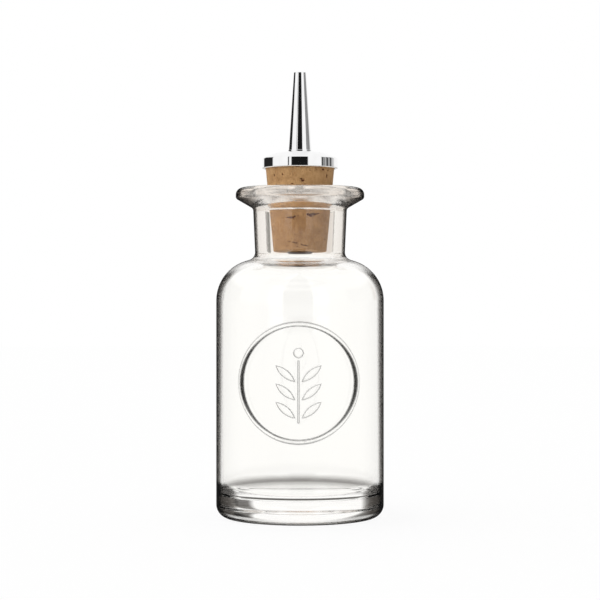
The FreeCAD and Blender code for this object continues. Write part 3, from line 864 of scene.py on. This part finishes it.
# How far a direction points up, where one part of the studio passes into the next.
GLASS_MIRROR_RISE = (0.018, 0.028)
METAL_MIRROR_RISE = (-0.12, -0.02)
CEILING_RISE = (0.36, 0.5)
NECK_RISE = (0.022, 0.03)
BOUNCED_RISE = (0.01, 0.02)
SOLID_LEVEL, HOLLOW_LEVEL = (0.7, 0.8), (0.15, 0.22)
# The soft light in the middle, what it loses towards the right, and its gain through glass.
SOFT_LIGHT, SOFT_FALL, NECK_GAIN = 1.0, -0.55, 1.75
METAL_FLOOR = (0.6, 0.59, 0.58)
BACKDROP = (1.04, 1.03, 1.015)
FLAG = (0.088, 0.08, 0.072)
HALF_FLAG = (0.15, 0.14, 0.13)
SIDE_FLAG = (0.7, 0.66, 0.62)
LEFT_FLAG = (0.27, 0.25, 0.23)
RIGHT_FLAG = (0.5, 0.48, 0.45)
NECK_FLAG = (0.06, 0.058, 0.047)
NECK_SIDE = (0.82, 0.77, 0.73)
# The studio all round, in degrees from the back, right positive: first what glass and metal mirror.
GLASS_LOW_MIRROR = [(-180, 0.45), (-90, 0.45), (-60, 0.03), (60, 0.03), (90, 0.45), (180, 0.45)]
GLASS_HIGH_MIRROR = [
    (-180, 0.01), (-158, 0.01), (-156, 1.25), (-137, 1.25), (-133, 0.9), (-92, 0.9),
    (-89, 0.02), (-60, 0.02), (32, 0.02), (36, 0.22), (108, 0.18), (110, 0.05),
    (111, 0.6), (136, 0.6), (140, 1.1), (160, 1.1), (162, 0.01), (180, 0.01),
]
METAL_MIRROR = [
    (-180, 0.01), (-156, 0.01), (-154, 1.0), (-148, 1.0), (-147.5, 0.05), (-144.5, 0.05), (-144, 1.0),
    (-92, 1.0), (-89, 0.02), (-42, 0.02), (-38, 1.0), (50, 1.0), (60, 0.5), (66, 0.6), (70, 0.06),
    (76, 0.1), (78, 0.5), (84, 0.35), (86, 0.05), (91, 0.05), (93, 0.5), (99, 0.35), (101, 0.08),
    (104, 0.45), (106, 0.03), (110, 0.03), (111, 1.0), (154, 1.0), (156, 0.01), (180, 0.01),
]
# Then what shows after a bounce in the glass, through solid glass, through both walls and in the neck.
THROUGH_BOUNCED = [
    (-180, 0.05), (-158, 0.05), (-156, 1.8), (-137, 1.8), (-133, BACKDROP),
    (136, BACKDROP), (140, 1.6), (160, 1.6), (162, 0.05), (180, 0.05),
]
THROUGH_SOLID = [
    (-180, BACKDROP), (-152, BACKDROP), (-148, FLAG), (-120, FLAG), (-116, BACKDROP),
    (-105, BACKDROP), (-100, SIDE_FLAG), (-45, SIDE_FLAG), (-41, BACKDROP),
    (21, BACKDROP), (25, HALF_FLAG), (36, FLAG), (40, SIDE_FLAG), (80, SIDE_FLAG), (84, BACKDROP),
    (116, BACKDROP), (120, FLAG), (148, FLAG), (152, BACKDROP), (180, BACKDROP),
]
THROUGH_HOLLOW = [
    (-180, BACKDROP), (-152, BACKDROP), (-148, LEFT_FLAG), (-120, LEFT_FLAG), (-116, BACKDROP),
    (-68, BACKDROP), (-64, LEFT_FLAG), (-27, LEFT_FLAG), (-23, BACKDROP),
    (25, BACKDROP), (29, RIGHT_FLAG), (60, RIGHT_FLAG), (64, BACKDROP),
    (116, BACKDROP), (120, RIGHT_FLAG), (148, RIGHT_FLAG), (152, BACKDROP), (180, BACKDROP),
]
THROUGH_NECK = [
    (-180, BACKDROP), (-66, BACKDROP), (-62, NECK_FLAG), (-24, NECK_FLAG), (-21, BACKDROP), (12, BACKDROP),
    (16, NECK_SIDE), (32, NECK_SIDE), (35, NECK_FLAG), (62, NECK_FLAG), (66, BACKDROP), (180, BACKDROP),
]


def degrees_ramp(tree, turn, stops):
    """A ramp over the directions of the compass, in degrees from the back, right positive."""
    return ramp(tree, turn, [((angle + 180) / 360, value) for angle, value in stops])


class DASH_OT_stage(bpy.types.Operator):
    """Sets up the floor, the soft light and the camera"""

    bl_idname = "dash.stage"
    bl_label = "Stage"

    def execute(self, context):
        s = context.scene.dash_stage
        scene = context.scene
        self.floor(s)
        self.shade()
        self.world(scene)
        turn, away = s.camera_turn, s.camera_distance
        bpy.ops.object.camera_add(
            location=(away * math.sin(turn), -away * math.cos(turn), s.camera_height),
            rotation=(math.pi / 2, 0, turn),
        )
        camera = context.object
        camera.data.lens = s.lens
        camera.data.sensor_width = SENSOR_WIDTH
        camera.data.clip_start = CLIP_START
        scene.camera = camera
        scene.view_settings.view_transform = "Standard"
        scene.cycles.max_bounces = ALL_BOUNCES
        scene.cycles.transmission_bounces = GLASS_BOUNCES
        scene.cycles.glossy_bounces = MIRROR_BOUNCES
        return {"FINISHED"}

    def disc(self, name, sides, radius, height):
        """A flat disc, and the node tree of its material with only the output in it."""
        deselect()
        bpy.ops.mesh.primitive_circle_add(
            vertices=sides, radius=radius, fill_type="NGON", location=(0, 0, height)
        )
        made = bpy.context.object
        bpy.ops.object.transform_apply(location=True)
        made.name = name
        look, tree, shader = material(name)
        tree.nodes.remove(shader)
        made.data.materials.append(look)
        return made, tree

    def mix(self, tree, factor, first, second):
        """Sends a mix of two shaders to the material's output."""
        mixed = node(tree, "MixShader", {0: factor, 1: first.outputs[0], 2: second.outputs[0]})
        tree.links.new(mixed.outputs[0], tree.nodes["Material Output"].inputs[0])

    def floor(self, s):
        """A pale floor that keeps the shadow."""
        floor, tree = self.disc("pale_floor", FLOOR_SIDES, s.floor_radius, 0)
        matt = node(tree, "BsdfDiffuse", {"Color": (*FLOOR_TONE, 1)})
        glow = node(tree, "Emission", {"Color": (*WHITE, 1), "Strength": 1.0})
        self.mix(tree, s.floor_glow, matt, glow)
        floor.visible_glossy = floor.visible_transmission = False

    def shade(self):
        """A dark patch under the foot, seen only through the glass."""
        patch, tree = self.disc("foot_shade", SHADE_SIDES, SHADE_RADIUS, -SHADE_DROP)
        across, back, _ = node(tree, "SeparateXYZ", {0: node(tree, "TexCoord").outputs["Object"]}).outputs
        away = from_axis(tree, across, back)
        path = node(tree, "LightPath").outputs
        walls = maths(tree, "GREATER_THAN", path["Transmission Depth"], BOTH_WALLS)
        bounced = maths(tree, "GREATER_THAN", path["Glossy Depth"], ONCE)
        under = stretch(tree, away, *SHADE_END, *FALLING)
        ring = stretch(tree, away, *MIRRORED_START)
        ring = maths(tree, "MULTIPLY", ring, stretch(tree, away, *MIRRORED_END, *FALLING))
        cover = node(tree, "Mix", {0: walls, 2: under, 3: 0.0}).outputs[0]
        cover = node(tree, "Mix", {0: bounced, 2: cover, 3: ring}).outputs[0]
        gloom = node(tree, "Emission", {"Color": (*SHADE_TONE, 1), "Strength": 1.0})
        self.mix(tree, cover, node(tree, "BsdfTransparent"), gloom)
        patch.visible_camera = patch.visible_glossy = patch.visible_diffuse = patch.visible_shadow = False

    def world(self, scene):
        """A soft studio: white for the camera, soft for matt surfaces, with flags for glass and metal."""
        studio = bpy.data.worlds.new("soft_studio")
        scene.world = studio
        studio.use_nodes = True
        studio.cycles.sampling_method = "NONE"
        tree = studio.node_tree
        path = node(tree, "LightPath").outputs
        way = node(tree, "TexCoord").outputs["Generated"]
        right, back, rise = node(tree, "SeparateXYZ", {0: way}).outputs
        turn = maths(tree, "MULTIPLY_ADD", maths(tree, "ARCTAN2", right, back), 1 / FULL_TURN, 0.5)
        bent = maths(tree, "GREATER_THAN", path["Transmission Depth"], ONCE)
        mirrored = self.mirrored(tree, path, turn, rise)
        seen = blended(tree, bent, mirrored, self.through(tree, path, turn, rise))
        soft = maths(tree, "MULTIPLY_ADD", right, SOFT_FALL, SOFT_LIGHT)
        soft = maths(tree, "MULTIPLY", soft, stretch(tree, bent, *RISING, 1.0, NECK_GAIN, "LINEAR"))
        lit = node(tree, "CombineColor", {0: soft, 1: soft, 2: soft}).outputs[0]
        clean = maths(tree, "LESS_THAN", path["Diffuse Depth"], ONCE)
        shiny = maths(tree, "MAXIMUM", path["Is Glossy Ray"], path["Is Transmission Ray"])
        light = blended(tree, maths(tree, "MULTIPLY", clean, shiny), lit, seen)
        light = blended(tree, path["Is Camera Ray"], light, WHITE)
        tree.links.new(light, tree.nodes["Background"].inputs[0])

    def mirrored(self, tree, path, turn, rise):
        """What glass and metal mirror of the studio."""
        low, high = (degrees_ramp(tree, turn, stops) for stops in (GLASS_LOW_MIRROR, GLASS_HIGH_MIRROR))
        clear = blended(tree, stretch(tree, rise, *GLASS_MIRROR_RISE), low, high)
        bright = degrees_ramp(tree, turn, METAL_MIRROR)
        bright = blended(tree, stretch(tree, rise, *METAL_MIRROR_RISE), METAL_FLOOR, bright)
        both = blended(tree, path["Is Singular Ray"], bright, clear)
        return blended(tree, stretch(tree, rise, *CEILING_RISE), both, WHITE)

    def through(self, tree, path, turn, rise):
        """What shows of the studio through the glass."""
        level = maths(tree, "ABSOLUTE", rise)
        solid = degrees_ramp(tree, turn, THROUGH_SOLID)
        solid = blended(tree, stretch(tree, level, *SOLID_LEVEL), solid, BACKDROP)
        hollow, neck = (degrees_ramp(tree, turn, stops) for stops in (THROUGH_HOLLOW, THROUGH_NECK))
        hollow = blended(tree, stretch(tree, rise, *NECK_RISE), hollow, neck)
        hollow = blended(tree, stretch(tree, level, *HOLLOW_LEVEL), hollow, BACKDROP)
        walls = maths(tree, "GREATER_THAN", path["Transmission Depth"], BOTH_WALLS)
        plain = blended(tree, walls, solid, hollow)
        dim = degrees_ramp(tree, turn, THROUGH_BOUNCED)
        dim = blended(tree, stretch(tree, rise, *BOUNCED_RISE), BACKDROP, dim)
        bounced = maths(tree, "GREATER_THAN", path["Glossy Depth"], ONCE)
        return blended(tree, bounced, plain, dim)


class DASH_PT_panel(bpy.types.Panel):
    """Lists the pieces of the bottle"""

    bl_idname = "DASH_PT_panel"
    bl_label = "Dash Bottle"
    bl_space_type = "VIEW_3D"
    bl_region_type = "UI"
    bl_category = "Dash Bottle"

    def draw(self, context):
        for operator, group in PARTS:
            self.layout.operator(operator.bl_idname)
            box = self.layout.box()
            settings = getattr(context.scene, group)
            for name in settings.__annotations__:
                box.prop(settings, name)


GROUPS = {
    "dash_glass": DashGlass,
    "dash_cork": DashCork,
    "dash_fitting": DashFitting,
    "dash_stage": DashStage,
}
PARTS = (
    (DASH_OT_glass, "dash_glass"),
    (DASH_OT_cork, "dash_cork"),
    (DASH_OT_fitting, "dash_fitting"),
    (DASH_OT_stage, "dash_stage"),
)
CLASSES = (*GROUPS.values(), *(operator for operator, _ in PARTS), DASH_PT_panel)


def register():
    for kind in CLASSES:
        bpy.utils.register_class(kind)
    for name, kind in GROUPS.items():
        setattr(bpy.types.Scene, name, bpy.props.PointerProperty(type=kind))


def unregister():
    for name in GROUPS:
        delattr(bpy.types.Scene, name)
    for kind in reversed(CLASSES):
        bpy.utils.unregister_class(kind)


def main():
    register()
    bpy.ops.dash.glass()
    bpy.ops.dash.cork()
    bpy.ops.dash.fitting()
    bpy.ops.dash.stage()


if __name__ == "__main__":
    main()
